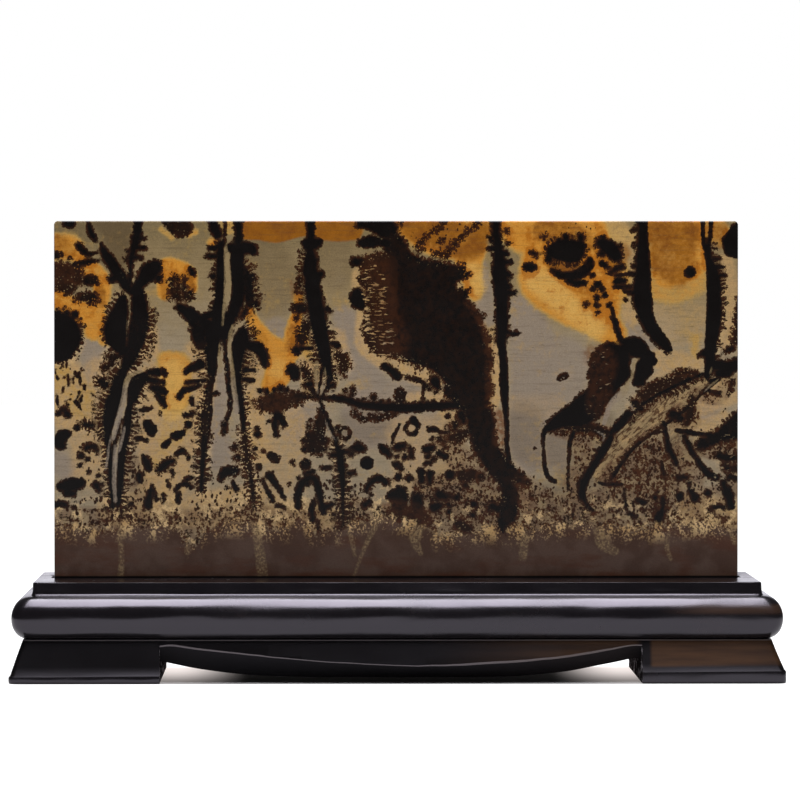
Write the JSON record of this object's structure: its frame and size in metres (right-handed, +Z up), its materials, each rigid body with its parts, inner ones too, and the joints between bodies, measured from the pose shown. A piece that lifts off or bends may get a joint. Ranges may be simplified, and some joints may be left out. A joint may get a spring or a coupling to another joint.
{
  "type": "scholars rock",
  "caption": "Polished upright slab of dendritic picture stone set in the groove of a low black lacquered wood stand with a rounded edge, broad feet and a scooped underside.",
  "frame": {"origin": "middle of the stand's footprint, on the surface it stands on", "axes": "+X along the stand to the right as the picture face is seen, +Y away from the picture face towards the back, +Z up"},
  "size_m": [0.3352, 0.11, 0.1998],
  "materials": {
    "stone": "polished",
    "lacquered_wood": "gloss"
  },
  "bodies": {
    "root": {"stone_slab": "stone", "stand_top_board": "lacquered_wood", "stand_base": "lacquered_wood"}
  },
  "joints": []
}
